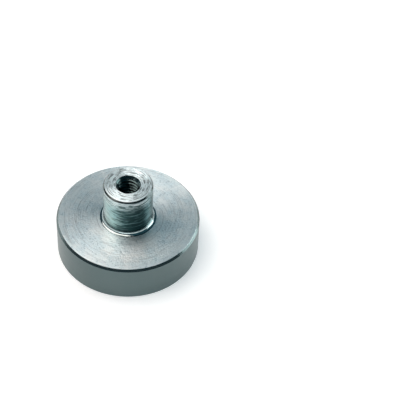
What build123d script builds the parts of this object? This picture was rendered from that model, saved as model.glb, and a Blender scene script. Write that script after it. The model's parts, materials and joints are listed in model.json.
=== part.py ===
from build123d import *
import os
from math import radians, tan

# A pot magnet: a disc magnet glued into a steel pot that leads its field to a ring-shaped rim.
# The pot and the stem on its back are turned from one bar, and the stem is drilled for an M4 thread.
# Sizes are in millimetres. The pot stands on its rim: the origin is the middle of the rim's plane,
# and +Z runs along the axis, up the stem.

# The disc magnet.
MAGNET_DIAMETER = 18.0
MAGNET_THICKNESS = 4.0
MAGNET_EDGE_RADIUS = 0.3  # the edge round the pole face, worn round before plating
MAGNET_BACK_CHAMFER = 0.3

# How the magnet sits in the pot.
POLE_RECESS = 0.15  # the magnet's face lies this far inside the rim, so that the rim takes the knocks
GLUE_LINE = 0.1  # adhesive between the magnet's back and the pot's floor
GLUE_CLIMB = 0.1  # how far the squeezed-out adhesive climbs the magnet's side, past its back chamfer
RING_GAP = 1.22  # open ring between the magnet's side and the pot's wall

# The pot.
RIM_WALL = 2.28
FLOOR_THICKNESS = 2.75
BACK_CHAMFER = 0.4  # outer edge of the pot's back
RIM_OUTER_BREAK = 0.12
RIM_INNER_BREAK = 0.15
CAVITY_CORNER_BEVEL = 0.2  # left by the boring tool where the wall meets the floor

# The stem on the pot's back.
STEM_DIAMETER = 8.6
STEM_LENGTH = 8.0
STEM_ROOT_RADIUS = 0.6
STEM_CHAMFER = 0.25

# The hole in the stem, at the size that is tapped.
THREAD_SIZE = 4.0
THREAD_PITCH = 0.7
COUNTERSINK_MARGIN = 0.25  # the countersink's mouth is this much wider than the screw
COUNTERSINK_ANGLE = 90.0
DRILL_POINT_ANGLE = 118.0
HOLE_FLOOR = 2.0  # metal left between the drill's point and the magnet's seat

# What follows from them. Heights are above the rim's plane.
magnet_radius = MAGNET_DIAMETER / 2
cavity_radius = magnet_radius + RING_GAP
pot_radius = cavity_radius + RIM_WALL
stem_radius = STEM_DIAMETER / 2
core_radius = (THREAD_SIZE - THREAD_PITCH) / 2  # the tapping drill, which leaves the thread's crests
mouth_radius = (THREAD_SIZE + COUNTERSINK_MARGIN) / 2

magnet_back = POLE_RECESS + MAGNET_THICKNESS
cavity_floor = magnet_back + GLUE_LINE
pot_back = cavity_floor + FLOOR_THICKNESS
stem_end = pot_back + STEM_LENGTH
drill_tip = cavity_floor + HOLE_FLOOR
core_end = drill_tip + core_radius / tan(radians(DRILL_POINT_ANGLE / 2))
core_start = stem_end - (mouth_radius - core_radius) / tan(radians(COUNTERSINK_ANGLE / 2))


def half_section(*outline):
    """A closed face on one side of the axis, through points given as (radius, height)."""
    return make_face(Polyline(*outline, close=True))


def corner(section, radius, height):
    """The corner of a half section at this radius and height."""
    return section.vertices().sort_by_distance((radius, height))[0]


def turned(section):
    """The solid that a half section sweeps when it is turned about the axis."""
    return revolve(Plane.XZ * section, axis=Axis.Z)


def drilled_hole():
    """Half section of the hole: countersink, straight bore and drill point."""
    return half_section(
        (0, drill_tip),
        (core_radius, core_end),
        (core_radius, core_start),
        (mouth_radius, stem_end),
        (0, stem_end),
    )


def pot_with_stem():
    """The pot, open downwards, and the drilled stem that stands on its back."""
    section = half_section(
        (0, cavity_floor),
        (cavity_radius, cavity_floor),
        (cavity_radius, 0),
        (pot_radius, 0),
        (pot_radius, pot_back),
        (stem_radius, pot_back),
        (stem_radius, stem_end),
        (0, stem_end),
    )
    section = chamfer(corner(section, pot_radius, pot_back), BACK_CHAMFER)
    section = chamfer(corner(section, pot_radius, 0), RIM_OUTER_BREAK)
    section = chamfer(corner(section, cavity_radius, 0), RIM_INNER_BREAK)
    section = chamfer(corner(section, stem_radius, stem_end), STEM_CHAMFER)
    section = chamfer(corner(section, cavity_radius, cavity_floor), CAVITY_CORNER_BEVEL)
    section = fillet(corner(section, stem_radius, pot_back), STEM_ROOT_RADIUS)
    return turned(section - drilled_hole())


def disc_magnet():
    """The magnet, its pole face just inside the rim."""
    section = half_section(
        (0, POLE_RECESS),
        (magnet_radius, POLE_RECESS),
        (magnet_radius, magnet_back),
        (0, magnet_back),
    )
    section = fillet(corner(section, magnet_radius, POLE_RECESS), MAGNET_EDGE_RADIUS)
    section = chamfer(corner(section, magnet_radius, magnet_back), MAGNET_BACK_CHAMFER)
    return turned(section)


def adhesive(pot, magnet):
    """The film behind the magnet, with the sloping bead squeezed out round its back edge."""
    bead = GLUE_LINE + MAGNET_BACK_CHAMFER + GLUE_CLIMB
    section = half_section(
        (0, cavity_floor - bead),
        (magnet_radius, cavity_floor - bead),
        (magnet_radius + bead, cavity_floor),
        (0, cavity_floor),
    )
    return turned(section) - magnet - pot


pot_body = pot_with_stem()
magnet_disc = disc_magnet()
adhesive_bed = adhesive(pot_body, magnet_disc)

os.makedirs("parts", exist_ok=True)
export_step(pot_body, "parts/pot_body.step")
export_step(magnet_disc, "parts/magnet_disc.step")
export_step(adhesive_bed, "parts/adhesive_bed.step")
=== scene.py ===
import json
from math import asin, atan2, ceil, cos, hypot, pi, radians, sin, tan

import bmesh
import bpy
from mathutils import Matrix, Vector


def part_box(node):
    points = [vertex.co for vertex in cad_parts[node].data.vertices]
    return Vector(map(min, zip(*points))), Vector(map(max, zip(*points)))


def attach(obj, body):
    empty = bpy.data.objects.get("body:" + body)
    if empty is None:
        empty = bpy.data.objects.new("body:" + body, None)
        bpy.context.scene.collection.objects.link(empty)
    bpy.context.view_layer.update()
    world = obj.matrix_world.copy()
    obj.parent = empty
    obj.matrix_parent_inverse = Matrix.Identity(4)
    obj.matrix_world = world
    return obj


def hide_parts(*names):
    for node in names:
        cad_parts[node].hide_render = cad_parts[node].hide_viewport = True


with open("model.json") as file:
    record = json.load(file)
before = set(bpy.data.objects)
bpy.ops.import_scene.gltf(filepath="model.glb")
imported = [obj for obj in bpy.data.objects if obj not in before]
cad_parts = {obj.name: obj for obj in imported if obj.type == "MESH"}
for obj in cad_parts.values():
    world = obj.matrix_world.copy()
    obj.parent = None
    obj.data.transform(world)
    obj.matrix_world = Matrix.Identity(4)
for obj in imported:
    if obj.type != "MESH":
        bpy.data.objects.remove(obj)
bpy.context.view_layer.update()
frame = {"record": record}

# The looks of a pot magnet: a turned, zinc-plated pot with a tapped stem on its back, the disc magnet
# in its mouth and the adhesive that holds the magnet. Lengths are in metres, in the model's own frame.

MM = 0.001

# What the frame gives.
pot_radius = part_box("pot_body")[1].x
stem_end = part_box("pot_body")[1].z
magnet_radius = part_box("magnet_disc")[1].x
magnet_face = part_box("magnet_disc")[0].z
magnet_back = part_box("magnet_disc")[1].z
bead_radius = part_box("adhesive_bed")[1].x
bead_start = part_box("adhesive_bed")[0].z
cavity_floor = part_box("adhesive_bed")[1].z
thread_mount = next(mount for mount in frame["record"]["mounts"] if mount["name"] == "stem_thread")
core_radius = thread_mount["dims"]["r_mm"] * MM
core_length = thread_mount["dims"]["length_mm"] * MM

# The pot and its stem.
RIM_WALL = 2.28 * MM
FLOOR_THICKNESS = 2.75 * MM
BACK_CHAMFER = 0.4 * MM
RIM_OUTER_BREAK = 0.12 * MM
RIM_INNER_BREAK = 0.15 * MM
CAVITY_CORNER_BEVEL = 0.2 * MM
STEM_RADIUS = 4.3 * MM
STEM_ROOT_RADIUS = 0.6 * MM
STEM_ROOT_SEGMENTS = 12
STEM_CHAMFER = 0.25 * MM
EDGE_ROUND = 0.03 * MM  # how far the plating rounds off every turned edge
EDGE_SEGMENTS = 3

# The tapped hole.
THREAD_RADIUS = 2.0 * MM
THREAD_PITCH = 0.7 * MM
THREAD_HALF_ANGLE = radians(30)
THREAD_RUNOUT = 1.75 * MM  # plain drilled wall below the last turn
TAP_LEAD = 1.2 * MM  # how far up the tap's tapered end leaves the thread shallow
CREST_ROUND = 0.03 * MM
CREST_SEGMENTS = 2
FLANK_CUTS = 5
MOUTH_RADIUS = 2.125 * MM
MOUTH_LIP = 0.06 * MM
DRILL_HALF_ANGLE = radians(59)

# The magnet.
MAGNET_EDGE_RADIUS = 0.3 * MM
MAGNET_EDGE_SEGMENTS = 8
MAGNET_BACK_CHAMFER = 0.3 * MM

TURN_STEPS = 192
MERGE_DISTANCE = 0.001 * MM

cavity_radius = pot_radius - RIM_WALL
pot_back = cavity_floor + FLOOR_THICKNESS
core_start = stem_end - (MOUTH_RADIUS - core_radius)
core_end = core_start - core_length
drill_tip = core_end - core_radius / tan(DRILL_HALF_ANGLE)
thread_end = core_end + THREAD_RUNOUT


# Shapes

def outline(bm, points):
    """A chain of edges through (radius, height) points, and its vertices."""
    chain = [bm.verts.new((radius, 0, height)) for radius, height in points]
    for first, second in zip(chain, chain[1:]):
        bm.edges.new((first, second))
    return chain


def cut_corner(bm, vertices, size, segments=1):
    """Chamfers corners of an outline, or rounds them with several segments. Returns their new vertices."""
    cut = bmesh.ops.bevel(bm, geom=vertices, offset=size, offset_type="OFFSET", segments=segments,
                          profile=0.5, affect="VERTICES", material=-1)
    return cut["verts"]


def turn(bm, parts):
    """Turns an outline once about the axis."""
    bmesh.ops.spin(bm, geom=parts, cent=(0, 0, 0), axis=(0, 0, 1), dvec=(0, 0, 0),
                   angle=2 * pi, steps=TURN_STEPS, use_merge=True)


def finished(bm, name, paint, stands_for):
    """Closes a turned shell and makes it a piece on the frame's one body, standing for a CAD node."""
    bmesh.ops.remove_doubles(bm, verts=bm.verts, dist=MERGE_DISTANCE)
    bmesh.ops.recalc_face_normals(bm, faces=bm.faces)
    mesh = bpy.data.meshes.new(name)
    bm.to_mesh(mesh)
    bm.free()
    mesh.shade_smooth()
    lay_normals(mesh)
    mesh.materials.append(paint)
    piece = bpy.data.objects.new(name, mesh)
    bpy.context.scene.collection.objects.link(piece)
    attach(piece, "root")
    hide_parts(stands_for)


def lay_normals(mesh):
    """Gives each vertex its faces' mean normal by area, so that flats stay flat up to rounded edges."""
    normals = [Vector() for _ in mesh.vertices]
    for polygon in mesh.polygons:
        for index in polygon.vertices:
            normals[index] += polygon.normal * polygon.area
    mesh.normals_split_custom_set_from_vertices([normal.normalized() for normal in normals])


def thread_wall():
    """The wall of the tapped hole, as a mesh: one pitch of the thread's outline, spun up a helix."""
    bm = bmesh.new()
    flank = (THREAD_RADIUS - core_radius) * tan(THREAD_HALF_ANGLE)
    root = THREAD_PITCH / 8  # the flat of a metric thread's root
    half_crest = (THREAD_PITCH - root) / 2 - flank
    start = thread_end - THREAD_PITCH
    chain = outline(bm, [
        (core_radius, start),
        (core_radius, start + half_crest),
        (THREAD_RADIUS, start + half_crest + flank),
        (THREAD_RADIUS, start + half_crest + flank + root),
        (core_radius, start + half_crest + 2 * flank + root),
        (core_radius, start + THREAD_PITCH),
    ])
    cut_corner(bm, chain[1:5], CREST_ROUND, segments=CREST_SEGMENTS)
    flanks = [edge for edge in bm.edges if edge.calc_length() > flank]
    bmesh.ops.subdivide_edges(bm, edges=flanks, cuts=FLANK_CUTS)
    bmesh.ops.spin(bm, geom=bm.verts[:] + bm.edges[:], cent=(0, 0, 0), axis=(0, 0, 1),
                   dvec=(0, 0, THREAD_PITCH / TURN_STEPS), angle=2 * pi, steps=TURN_STEPS,
                   use_merge=False)
    first_turn = bm.verts[:] + bm.edges[:] + bm.faces[:]
    for count in range(1, ceil((stem_end - start) / THREAD_PITCH) + 1):
        copy = bmesh.ops.duplicate(bm, geom=first_turn)["geom"]
        copied = [part for part in copy if isinstance(part, bmesh.types.BMVert)]
        bmesh.ops.translate(bm, verts=copied, vec=(0, 0, count * THREAD_PITCH))
    for vertex in bm.verts:
        trim_thread(vertex)
    bmesh.ops.remove_doubles(bm, verts=bm.verts, dist=MERGE_DISTANCE)
    wall = bpy.data.meshes.new("thread_wall")
    bm.to_mesh(wall)
    bm.free()
    return wall


def trim_thread(vertex):
    """Moves a vertex of the endless thread to where the tap, the drill and the countersink leave it."""
    x, y, z = vertex.co
    z = min(max(z, thread_end), stem_end - MOUTH_LIP)
    lead = core_radius + (z - thread_end) * (THREAD_RADIUS - core_radius) / TAP_LEAD
    countersink = core_radius + z - core_start
    radius = max(min(hypot(x, y), lead), core_radius, countersink)
    turned = atan2(y, x)
    vertex.co = (radius * cos(turned), radius * sin(turned), z)


def pot_and_stem(paint):
    """The pot with its stem, in one closed shell: bore, outside, rim and cavity."""
    bm = bmesh.new()
    outline(bm, [(0, drill_tip), (core_radius, core_end), (core_radius, thread_end)])
    chain = outline(bm, [
        (MOUTH_RADIUS - MOUTH_LIP, stem_end - MOUTH_LIP),
        (MOUTH_RADIUS, stem_end),
        (STEM_RADIUS, stem_end),
        (STEM_RADIUS, pot_back),
        (pot_radius, pot_back),
        (pot_radius, 0),
        (cavity_radius, 0),
        (cavity_radius, cavity_floor),
        (0, cavity_floor),
    ])
    _, mouth, stem_top, stem_root, back, rim_outer, rim_inner, corner, _ = chain
    cut_corner(bm, [stem_root], STEM_ROOT_RADIUS, segments=STEM_ROOT_SEGMENTS)
    sharp = [mouth]
    for vertex, size in (
        (stem_top, STEM_CHAMFER),
        (back, BACK_CHAMFER),
        (rim_outer, RIM_OUTER_BREAK),
        (rim_inner, RIM_INNER_BREAK),
        (corner, CAVITY_CORNER_BEVEL),
    ):
        sharp += cut_corner(bm, [vertex], size)
    cut_corner(bm, sharp, EDGE_ROUND, segments=EDGE_SEGMENTS)
    turn(bm, bm.verts[:] + bm.edges[:])
    thread = thread_wall()
    bm.from_mesh(thread)
    bpy.data.meshes.remove(thread)
    finished(bm, "turned_pot", paint, "pot_body")


def pole_disc(paint):
    """The disc magnet, rounded at its pole face and chamfered at its back."""
    bm = bmesh.new()
    _, edge, back, _ = outline(bm, [
        (0, magnet_face),
        (magnet_radius, magnet_face),
        (magnet_radius, magnet_back),
        (0, magnet_back),
    ])
    cut_corner(bm, [edge], MAGNET_EDGE_RADIUS, segments=MAGNET_EDGE_SEGMENTS)
    chamfered = cut_corner(bm, [back], MAGNET_BACK_CHAMFER)
    cut_corner(bm, chamfered, EDGE_ROUND, segments=EDGE_SEGMENTS)
    turn(bm, bm.verts[:] + bm.edges[:])
    finished(bm, "pole_disc", paint, "magnet_disc")


def glue_bead(paint):
    """The adhesive behind the magnet and the bead round its back edge."""
    bm = bmesh.new()
    chamfer_start = magnet_back - MAGNET_BACK_CHAMFER
    outline(bm, [
        (0, cavity_floor),
        (bead_radius, cavity_floor),
        (magnet_radius, bead_start),
        (magnet_radius, chamfer_start),
        (magnet_radius - MAGNET_BACK_CHAMFER, magnet_back),
        (0, magnet_back),
    ])
    turn(bm, bm.verts[:] + bm.edges[:])
    finished(bm, "glue_bead", paint, "adhesive_bed")


# Finishes

class Wire:
    """A node's output in a material. Arithmetic between wires, or a wire and a number, adds Math nodes."""

    def __init__(self, tree, socket):
        self.tree = tree
        self.socket = socket

    def node(self, kind, settings, inputs, output=0):
        """Adds a node of this kind, settings before inputs, and returns one of its outputs."""
        made = self.tree.nodes.new("ShaderNode" + kind)
        for name, value in settings.items():
            setattr(made, name, value)
        for name, value in inputs.items():
            if isinstance(value, Wire):
                self.tree.links.new(value.socket, made.inputs[name])
            else:
                made.inputs[name].default_value = value
        return Wire(self.tree, made.outputs[output])

    def math(self, operation, *others):
        """Adds a Math node over this wire and the others, which may be numbers."""
        return self.node("Math", {"operation": operation}, dict(enumerate((self, *others))))

    def __add__(self, other):
        return self.math("ADD", other)

    def __sub__(self, other):
        return self.math("SUBTRACT", other)

    def __rsub__(self, other):
        return self.math("MULTIPLY", -1).math("ADD", other)

    def __mul__(self, other):
        return self.math("MULTIPLY", other)

    __radd__ = __add__
    __rmul__ = __mul__

    def rise(self, start, end):
        """0 below start, 1 above end, and a smooth step between."""
        return self.node("MapRange", {"interpolation_type": "SMOOTHSTEP"},
                         {"Value": self, "From Min": start, "From Max": end})

    def mix(self, first, second):
        """The colour first where this wire is 0, and second where it is 1."""
        return self.node("Mix", {"data_type": "RGBA"}, {0: self, 6: first, 7: second}, output=2)

    def noise(self, scale, detail=2.0, roughness=0.5, dimensions="3D"):
        """Noise between 0 and 1 over a vector wire, or along a number wire where dimensions is 1D."""
        place = "W" if dimensions == "1D" else "Vector"
        return self.node("TexNoise", {"noise_dimensions": dimensions},
                         {place: self, "Scale": scale, "Detail": detail, "Roughness": roughness})


def new_material(name):
    """A new Principled material, its shader, and a wire with the place on the part in millimetres."""
    material = bpy.data.materials.new(name)
    material.use_nodes = True
    tree = material.node_tree
    coordinates = tree.nodes.new("ShaderNodeTexCoord")
    place = Wire(tree, coordinates.outputs["Object"])
    place = place.node("Mapping", {}, {"Vector": place, "Scale": (1 / MM, 1 / MM, 1 / MM)})
    return material, tree.nodes["Principled BSDF"], place


def feed(shader, colour, roughness, relief, depth):
    """Feeds a shader with its colour and roughness, and with relief as bumps of this depth."""
    tree = relief.tree
    bump = relief.node("Bump", {}, {"Height": relief, "Distance": depth, "Strength": 1.0})
    tree.links.new(colour.socket, shader.inputs["Base Color"])
    tree.links.new(roughness.socket, shader.inputs["Roughness"])
    tree.links.new(bump.socket, shader.inputs["Normal"])


def turned_coordinates(place):
    """The radius and height of a place in millimetres, and its direction from the axis as a vector."""
    x, y, height = (place.node("SeparateXYZ", {}, {0: place}, output=axis) for axis in range(3))
    flat = place.node("CombineXYZ", {}, {"X": x, "Y": y})
    radius = (x * x + y * y).math("SQRT")
    direction = flat.node("VectorMath", {"operation": "NORMALIZE"}, {0: flat})
    return radius, height, direction


def streaks(direction, along, bends, pitch):
    """Noise drawn out round the axis: it changes slowly with direction and quickly from line to line."""
    line = along.node("CombineXYZ", {}, {"Z": along * (1 / pitch)})
    bent = direction.node("VectorMath", {"operation": "SCALE"}, {0: direction, "Scale": bends})
    return bent.node("VectorMath", {"operation": "ADD"}, {0: bent, 1: line}).noise(1.0)


# The zones of the pot. Each mask rises between two radii or heights, in millimetres.
BORE_EDGE = (2.1, 2.2)
STEM_CHAMFER_RADIUS = (4.03, 4.08)
STEM_EDGE = (4.8, 5.0)
CAVITY_EDGE = (10.2, 10.3)
BACK_CHAMFER_RADIUS = (12.09, 12.16)
WALL_RADIUS = (12.42, 12.48)
RIM_TOP = (0.02, 0.1)
CAVITY_TOP = (4.3, 4.4)
BACK_CHAMFER_HEIGHT = (6.56, 6.64)
ROOT_TOP = (7.4, 7.8)
UPPER_STEM_HEIGHT = (11.8, 14.4)
STEM_CHAMFER_HEIGHT = (14.7, 14.76)
END_FACE_HEIGHT = (14.92, 14.98)

# The marks in the zinc: noise scales are per millimetre.
CLOUD_SCALE = 0.35
CLOUD_DETAIL = 5.0
CLOUD_ROUGHNESS = 0.65
PALE_CLOUD = (0.36, 0.62)
GRAIN_SCALE = 3.5
GRAIN_ROUGHNESS = 0.6
FLECK_GRAIN = (0.3, 0.46)
FLECK_SHARE = 0.85
FLECK_SHARE_LOST = 0.6  # where the cloud is pale
LINE_SLOPE = 0.6  # the tool's lines are spaced by the radius, plus this much of the height
RING_SCALE = 5.5
RING_ROUGHNESS = 0.6
RING_SHARE = 0.4
FINE_BENDS = 2.8
FINE_PITCH = 0.2
LONG_BENDS = 1.5
LONG_PITCH = 0.22
DARK_SCORE = (0.50, 0.575)
BRIGHT_SCORE = (0.46, 0.54)
DARK_STREAK = (0.60, 0.68)
STREAK_SHARE = 0.34

# Painted shade on the stem: a dark side for a dark reflection, edged by the scores, and a darker foot.
SHADED_SIDE = (0.34, -0.94, 0)
SHADED_SIDE_EDGE = (0.56, 1.06)
SHADED_SIDE_EDGE_BREAK = 2.4
SHADED_FOOT = (7.8, 9.6)
SHADED_FOOT_SHARE = 0.6
SHADE_LOST_AT_TOP = 0.7

# Amounts on the pot's back, and what each zone adds to them.
SCORE_SHARE = 0.12
SCORE_SHARE_CHANGES = {"stem": 0.28, "upper_stem": 0.4, "end_face": 0.34}
ZINC_ROUGHNESS = 0.375
ZINC_ROUGHNESS_CHANGES = {
    "stem": -0.295,
    "wall": -0.045,
    "root": -0.01,
    "bore": -0.1,
    "end_face": 0.21,
    "back_chamfer": -0.275,
    "rim": 0.1,
    "upper_stem": 0.08,
}
GRAIN_IN_ROUGHNESS = 0.1
SCORE_RELIEF = 0.6
SCORE_RELIEF_CHANGES = {"stem": 0.8, "end_face": 2.7, "upper_stem": 3.0}
GRAIN_RELIEF = 1.7
GRAIN_RELIEF_CHANGES = {"stem": -1.4, "wall": -1.3, "back_chamfer": -0.9}
GRAIN_RELIEF_LOST_ON_RIM = 0.9
ZINC_RELIEF_DEPTH = 0.03 * MM
HAZE = 0.13  # how much less metallic the plate is towards the pot's edge
HAZE_RADIUS = (5.0, 11.0)
END_FACE_HAZE = 0.5
TURNED_ANISOTROPY = 0.65
ANISOTROPY_TURN = 0.25  # a quarter turn, so that the shine runs across the tool's rings

PLATE_DEEP = (0.65, 0.775, 0.81, 1)
PLATE_PALE = (0.77, 0.85, 0.86, 1)
FLECK_COLOUR = (0.31, 0.43, 0.475, 1)
# painted shade: the stem is coloured darker and more teal than the plate, for the dark plate it mirrors
STEM_SHADE_COLOUR = (0.245, 0.37, 0.37, 1)
# painted shade: the dark side and the darker foot of the stem
STEM_DARK_SHADE_COLOUR = (0.03, 0.08, 0.08, 1)
# painted highlight: the root fillet is coloured paler than the stem, to brighten its shine
ROOT_HIGHLIGHT_COLOUR = (0.36, 0.42, 0.42, 1)
# painted highlight: the upper stem is coloured silver between the tool's rings, for the sky those rings
# mirror
UPPER_STEM_HIGHLIGHT = (0.52, 0.58, 0.59, 1)
# painted light: the stem's end face is coloured paler than the plate
END_FACE_LIGHT_COLOUR = (0.85, 0.965, 0.98, 1)
SCORE_COLOUR = (0.04, 0.06, 0.06, 1)
STREAK_COLOUR = (0.2, 0.25, 0.27, 1)
# painted shade: the stem's chamfer is coloured dark, which dims a lamp's highlight on it
STEM_CHAMFER_SHADE = (0.10, 0.12, 0.12, 1)
# painted shade: the tapped hole is coloured dark
BORE_SHADE = (0.06, 0.09, 0.09, 1)
# painted shade: the outer wall is coloured far darker than the plate, for the dark it mirrors; the cloud
# mixes its two tones
WALL_SHADE_DEEP = (0.102, 0.149, 0.151, 1)
WALL_SHADE_PALE = (0.119, 0.157, 0.158, 1)
# painted shade: the chamfer round the pot's back is coloured dark, for the dark it mirrors
BACK_CHAMFER_SHADE = (0.10, 0.13, 0.13, 1)
RIM_COLOUR = (0.40, 0.42, 0.42, 1)
# painted shade: the rim's inside, in the groove round the magnet, is coloured darker than the rim
CAVITY_SHADE = (0.20, 0.23, 0.22, 1)


def pot_zones(radius, height):
    """A mask for each zone of the pot. The stem's zone also holds the bore, the end face and the root."""
    bore = 1 - radius.rise(*BORE_EDGE)
    stem = 1 - radius.rise(*STEM_EDGE)
    end_face = height.rise(*END_FACE_HEIGHT) * (1 - bore)
    return {
        "bore": bore,
        "stem": stem,
        "end_face": end_face,
        "stem_chamfer": radius.rise(*STEM_CHAMFER_RADIUS) * stem * height.rise(*STEM_CHAMFER_HEIGHT),
        "upper_stem": stem * height.rise(*UPPER_STEM_HEIGHT) * (1 - end_face) * (1 - bore),
        "root": stem * (1 - height.rise(*ROOT_TOP)),
        "wall": radius.rise(*WALL_RADIUS),
        "back_chamfer": radius.rise(*BACK_CHAMFER_RADIUS) * height.rise(*BACK_CHAMFER_HEIGHT),
        "rim": 1 - height.rise(*RIM_TOP),
        "cavity": (1 - radius.rise(*CAVITY_EDGE)) * (1 - height.rise(*CAVITY_TOP)),
    }


def by_zone(zones, amount, changes):
    """An amount that each zone changes by so much."""
    for name, change in changes.items():
        amount = amount + zones[name] * change
    return amount


def painted_stem_shade(zones, height, direction, scores):
    """A mask of painted shade on the stem: a dark side that stands in for a reflection, and a darker foot.
    """
    product = {"operation": "DOT_PRODUCT"}
    side = direction.node("VectorMath", product, {0: direction, 1: SHADED_SIDE}, output=1)
    shade_mask = (side + (scores - 0.5) * SHADED_SIDE_EDGE_BREAK).rise(*SHADED_SIDE_EDGE)
    shade_mask = shade_mask + (1 - height.rise(*SHADED_FOOT)) * SHADED_FOOT_SHARE
    return shade_mask * zones["stem"] * (1 - zones["upper_stem"] * SHADE_LOST_AT_TOP)


def zinc_finish():
    """Bright zinc plate over turned steel, with the tool's rings under it and painted light and shade."""
    material, shader, place = new_material("zinc_plated_steel_turned")
    radius, height, direction = turned_coordinates(place)
    zones = pot_zones(radius, height)

    cloud = place.noise(CLOUD_SCALE, detail=CLOUD_DETAIL, roughness=CLOUD_ROUGHNESS)
    grain = place.noise(GRAIN_SCALE, roughness=GRAIN_ROUGHNESS)
    along = radius + height * LINE_SLOPE
    rings = along.noise(RING_SCALE, roughness=RING_ROUGHNESS, dimensions="1D")
    scores = rings * RING_SHARE + streaks(direction, along, FINE_BENDS, FINE_PITCH) * (1 - RING_SHARE)
    long_streaks = streaks(direction, along, LONG_BENDS, LONG_PITCH)

    pale = cloud.rise(*PALE_CLOUD)
    colour = pale.mix(PLATE_DEEP, PLATE_PALE)
    for mask, paint in (
        ((1 - grain.rise(*FLECK_GRAIN)) * (FLECK_SHARE - pale * FLECK_SHARE_LOST), FLECK_COLOUR),
        # painted shade: the stem coloured darker than the plate
        (zones["stem"], STEM_SHADE_COLOUR),
        # painted shade on one side and at the foot of the stem
        (painted_stem_shade(zones, height, direction, scores), STEM_DARK_SHADE_COLOUR),
        # painted highlight on the root fillet
        (zones["root"], ROOT_HIGHLIGHT_COLOUR),
        # painted highlight on the upper stem between its rings
        (zones["upper_stem"] * (1 - scores.rise(*BRIGHT_SCORE)), UPPER_STEM_HIGHLIGHT),
        # painted light on the stem's end face
        (zones["end_face"], END_FACE_LIGHT_COLOUR),
        (scores.rise(*DARK_SCORE) * by_zone(zones, SCORE_SHARE, SCORE_SHARE_CHANGES), SCORE_COLOUR),
        (long_streaks.rise(*DARK_STREAK) * STREAK_SHARE, STREAK_COLOUR),
        # painted shade on the stem's chamfer
        (zones["stem_chamfer"], STEM_CHAMFER_SHADE),
        # painted shade in the tapped hole
        (zones["bore"], BORE_SHADE),
        # painted shade on the outer wall, in two cloudy tones
        (zones["wall"], cloud.mix(WALL_SHADE_DEEP, WALL_SHADE_PALE)),
        # painted shade on the back chamfer
        (zones["back_chamfer"], BACK_CHAMFER_SHADE),
        (zones["rim"], RIM_COLOUR),
        # painted shade in the groove round the magnet
        (zones["cavity"], CAVITY_SHADE),
    ):
        colour = mask.mix(colour, paint)

    rough = by_zone(zones, ZINC_ROUGHNESS, ZINC_ROUGHNESS_CHANGES) + (grain - 0.5) * GRAIN_IN_ROUGHNESS
    grain_relief = by_zone(zones, GRAIN_RELIEF, GRAIN_RELIEF_CHANGES)
    grain_relief = grain_relief * (1 - zones["rim"] * GRAIN_RELIEF_LOST_ON_RIM)
    relief = (scores - 0.5) * by_zone(zones, SCORE_RELIEF, SCORE_RELIEF_CHANGES)
    relief = relief + (grain - 0.5) * grain_relief
    feed(shader, colour, rough, relief, ZINC_RELIEF_DEPTH)
    metal = 1 - radius.rise(*HAZE_RADIUS) * HAZE - zones["end_face"] * END_FACE_HAZE
    metal.tree.links.new(metal.socket, shader.inputs["Metallic"])
    shader.inputs["Anisotropic"].default_value = TURNED_ANISOTROPY
    shader.inputs["Anisotropic Rotation"].default_value = ANISOTROPY_TURN
    return material


# The magnet and the adhesive.
BLUSH_SCALE = 0.2
BLUSH_DETAIL = 3.0
BLUSH_SPREAD = 8
BLUSH_RADIUS = (3, 9)
SPECKLE_SCALE = 7.0
SPECKLE_DETAIL = 3.0
SPECKLE_ROUGHNESS = 0.6
DARK_SPECKLE = (0.34, 0.42)
MAGNET_GREY = (0.68, 0.615, 0.545, 1)
MAGNET_BLUSH = (0.64, 0.535, 0.475, 1)
SPECKLE_COLOUR = (0.2, 0.18, 0.17, 1)
MAGNET_ROUGHNESS = 0.42
MAGNET_ROUGHNESS_SPREAD = 0.2
MAGNET_METALLIC = 0.9
MAGNET_RELIEF_DEPTH = 0.02 * MM
LUMP_SCALE = 1.5
ADHESIVE_DARK = (0.13, 0.12, 0.10, 1)
ADHESIVE_LIGHT = (0.19, 0.17, 0.15, 1)
ADHESIVE_ROUGHNESS = 0.3
ADHESIVE_ROUGHNESS_SPREAD = 0.2
ADHESIVE_RELIEF_DEPTH = 0.05 * MM


def magnet_finish():
    """The magnet's matt plating, warm grey and finely speckled."""
    material, shader, place = new_material("magnet_plating_matt")
    cloud = place.noise(BLUSH_SCALE, detail=BLUSH_DETAIL)
    speckle = place.noise(SPECKLE_SCALE, detail=SPECKLE_DETAIL, roughness=SPECKLE_ROUGHNESS)
    radius, _, _ = turned_coordinates(place)
    blush = radius + (cloud - 0.5) * BLUSH_SPREAD
    colour = blush.rise(*BLUSH_RADIUS).mix(MAGNET_GREY, MAGNET_BLUSH)
    colour = speckle.rise(*DARK_SPECKLE).mix(SPECKLE_COLOUR, colour)
    rough = MAGNET_ROUGHNESS + (speckle - 0.5) * MAGNET_ROUGHNESS_SPREAD
    feed(shader, colour, rough, speckle, MAGNET_RELIEF_DEPTH)
    shader.inputs["Metallic"].default_value = MAGNET_METALLIC
    return material


def adhesive_finish():
    """Cured adhesive, dark and a little uneven."""
    material, shader, place = new_material("adhesive_cured")
    lumps = place.noise(LUMP_SCALE)
    colour = lumps.mix(ADHESIVE_DARK, ADHESIVE_LIGHT)
    rough = ADHESIVE_ROUGHNESS + lumps * ADHESIVE_ROUGHNESS_SPREAD
    feed(shader, colour, rough, lumps, ADHESIVE_RELIEF_DEPTH)
    return material


# The studio

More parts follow.
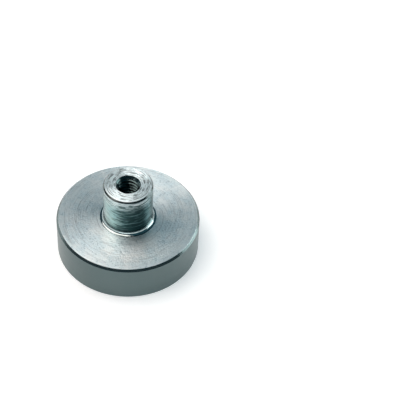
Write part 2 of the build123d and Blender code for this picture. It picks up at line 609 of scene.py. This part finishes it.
# Azimuth 0 is the camera's side of the part and 90 is to its right.
CAMERA_ELEVATION = radians(48.1)
CAMERA_DISTANCE = 0.23
CAMERA_LENS = 116.0
CAMERA_SENSOR = 36.0
PICTURE_SIDE = 408
TARGET_X = 128.2  # where the middle of the pot's back lies in the picture
TARGET_Y = 215.9
FLOOR_RADIUS = 0.8
SWEEP_RADIUS = 0.15
SWEEP_SEGMENTS = 12
BACKDROP_TOP = 0.25
FLOOR_COLOUR = (0.87, 0.90, 0.91, 1)
FLOOR_ROUGHNESS = 0.9
FLOOR_LIFT = 0.35  # near the part, where a lift of 1 is white
FAR_FLOOR = (60, 300)  # the lift grows to 1 between these distances from the axis, in millimetres
WORLD_COLOUR = (0.037, 0.105, 0.138, 1)


def add_camera():
    """A long lens, turned away from the part so that it stands left of the picture's middle."""
    focal = CAMERA_LENS / CAMERA_SENSOR * PICTURE_SIDE
    side = TARGET_X - PICTURE_SIDE / 2
    up = PICTURE_SIDE / 2 - TARGET_Y
    yaw = atan2(side, focal)
    pitch = asin(up / Vector((side, up, focal)).length)
    data = bpy.data.cameras.new("camera")
    data.lens = CAMERA_LENS
    data.sensor_width = CAMERA_SENSOR
    camera = bpy.data.objects.new("camera", data)
    bpy.context.scene.collection.objects.link(camera)
    back = Vector((0, -cos(CAMERA_ELEVATION), sin(CAMERA_ELEVATION)))
    camera.matrix_world = (Matrix.Translation(Vector((0, 0, pot_back)) + back * CAMERA_DISTANCE)
                           @ Matrix.Rotation(pi / 2 - CAMERA_ELEVATION, 4, "X")
                           @ Matrix.Rotation(-pitch, 4, "X") @ Matrix.Rotation(yaw, 4, "Y"))
    bpy.context.scene.camera = camera


def add_softbox(name, azimuth, elevation, distance, width, height, level, colour):
    """A rectangular lamp that faces the part, as bright as a white sheet lit to this level."""
    data = bpy.data.lights.new(name, "AREA")
    data.shape = "RECTANGLE"
    data.size = width
    data.size_y = height
    data.energy = pi * width * height * level
    data.color = colour
    lamp = bpy.data.objects.new(name, data)
    bpy.context.scene.collection.objects.link(lamp)
    turn_round = radians(azimuth)
    rise = radians(elevation)
    away = Vector((sin(turn_round) * cos(rise), -cos(turn_round) * cos(rise), sin(rise)))
    facing = away.to_track_quat("Z", "Y").to_matrix().to_4x4()
    lamp.matrix_world = Matrix.Translation(away * distance) @ facing
    lamp.visible_camera = False


def add_floor():
    """A pale floor that sweeps up to a low backdrop all round."""
    bm = bmesh.new()
    backdrop_radius = FLOOR_RADIUS + SWEEP_RADIUS
    _, corner, _ = outline(bm, [(0, 0), (backdrop_radius, 0), (backdrop_radius, BACKDROP_TOP)])
    cut_corner(bm, [corner], SWEEP_RADIUS, segments=SWEEP_SEGMENTS)
    turn(bm, bm.verts[:] + bm.edges[:])
    bmesh.ops.remove_doubles(bm, verts=bm.verts, dist=MERGE_DISTANCE)
    mesh = bpy.data.meshes.new("floor")
    bm.to_mesh(mesh)
    bm.free()
    mesh.shade_smooth()
    mesh.materials.append(floor_finish())
    floor = bpy.data.objects.new("floor", mesh)
    bpy.context.scene.collection.objects.link(floor)


def floor_finish():
    """A matt floor, lifted where it is seen or mirrored: a little near the part, and to white far off."""
    material, shader, place = new_material("floor_pale")
    tree = material.node_tree
    path = tree.nodes.new("ShaderNodeLightPath")
    seen, mirrored, through = (Wire(tree, path.outputs[name])
                               for name in ("Is Camera Ray", "Is Glossy Ray", "Is Transmission Ray"))
    radius, _, _ = turned_coordinates(place)
    lift = (seen + mirrored + through) * (FLOOR_LIFT + radius.rise(*FAR_FLOOR) * (1 - FLOOR_LIFT))
    tree.links.new(lift.socket, shader.inputs["Emission Color"])
    shader.inputs["Emission Strength"].default_value = 1.0
    shader.inputs["Base Color"].default_value = FLOOR_COLOUR
    shader.inputs["Roughness"].default_value = FLOOR_ROUGHNESS
    return material


def add_world():
    """Dim light from all round."""
    world = bpy.data.worlds.new("studio")
    world.use_nodes = True
    world.node_tree.nodes["Background"].inputs["Color"].default_value = WORLD_COLOUR
    bpy.context.scene.world = world


add_camera()
pot_and_stem(zinc_finish())
pole_disc(magnet_finish())
glue_bead(adhesive_finish())
add_floor()
add_world()
add_softbox("key", azimuth=260, elevation=68, distance=1.2,
            width=1.2, height=1.2, level=3.2, colour=(1.0, 0.87, 0.81))
add_softbox("right", azimuth=100, elevation=20, distance=0.85,
            width=0.54, height=0.50, level=3.1, colour=(0.92, 1.0, 1.0))
add_softbox("behind", azimuth=168, elevation=15, distance=0.85,
            width=0.42, height=0.30, level=2.9, colour=(0.94, 0.98, 1.0))
add_softbox("front", azimuth=345, elevation=10, distance=0.85,
            width=0.62, height=0.26, level=1.0, colour=(0.90, 0.98, 1.0))
bpy.context.scene.view_settings.view_transform = "Standard"
